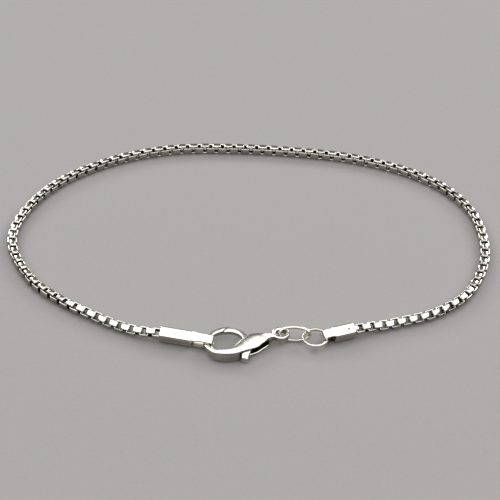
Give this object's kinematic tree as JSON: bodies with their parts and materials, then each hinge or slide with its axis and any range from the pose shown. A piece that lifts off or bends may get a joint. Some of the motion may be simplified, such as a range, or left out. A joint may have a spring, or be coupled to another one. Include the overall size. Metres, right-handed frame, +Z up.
{
  "type": "box chain bracelet",
  "caption": "Closed box chain bracelet: square links of flat strip in a loop, square sleeve end caps, jump rings and a lobster clasp with a sprung lever.",
  "frame": {"origin": "middle of the loop, on the table that it lies on", "axes": "+X along the loop's long way, from the left end cap to the right one; +Y from the clasp to the far side; +Z up from the table"},
  "size_m": [0.076, 0.0538, 0.0023],
  "materials": {
    "chain_plate": "bright silver plate on rolled strip",
    "cap_plate": "bright silver plate on folded sheet",
    "clasp_plate": "bright silver plate on a polished casting",
    "ring_plate": "bright silver plate on drawn wire"
  },
  "bodies": {
    "bracelet": {"box_chain_right": "chain_plate", "box_chain_left": "chain_plate", "end_cap_right": "cap_plate", "end_cap_left": "cap_plate", "clasp_body": "clasp_plate", "clasp_pin": "clasp_plate", "link_ring": "ring_plate", "cap_ring": "ring_plate"},
    "lever": {"clasp_lever": "clasp_plate"}
  },
  "joints": [
    {"name": "lever_pivot", "type": "hinge", "parent": "bracelet", "child": "lever", "pos_m": [0.00073, -0.02365, 0.00105], "axis": [0, 0, 1], "range_deg": [0, 20], "stiffness_Nm_per_rad": 0.002, "springref_deg": -17.19}
  ]
}
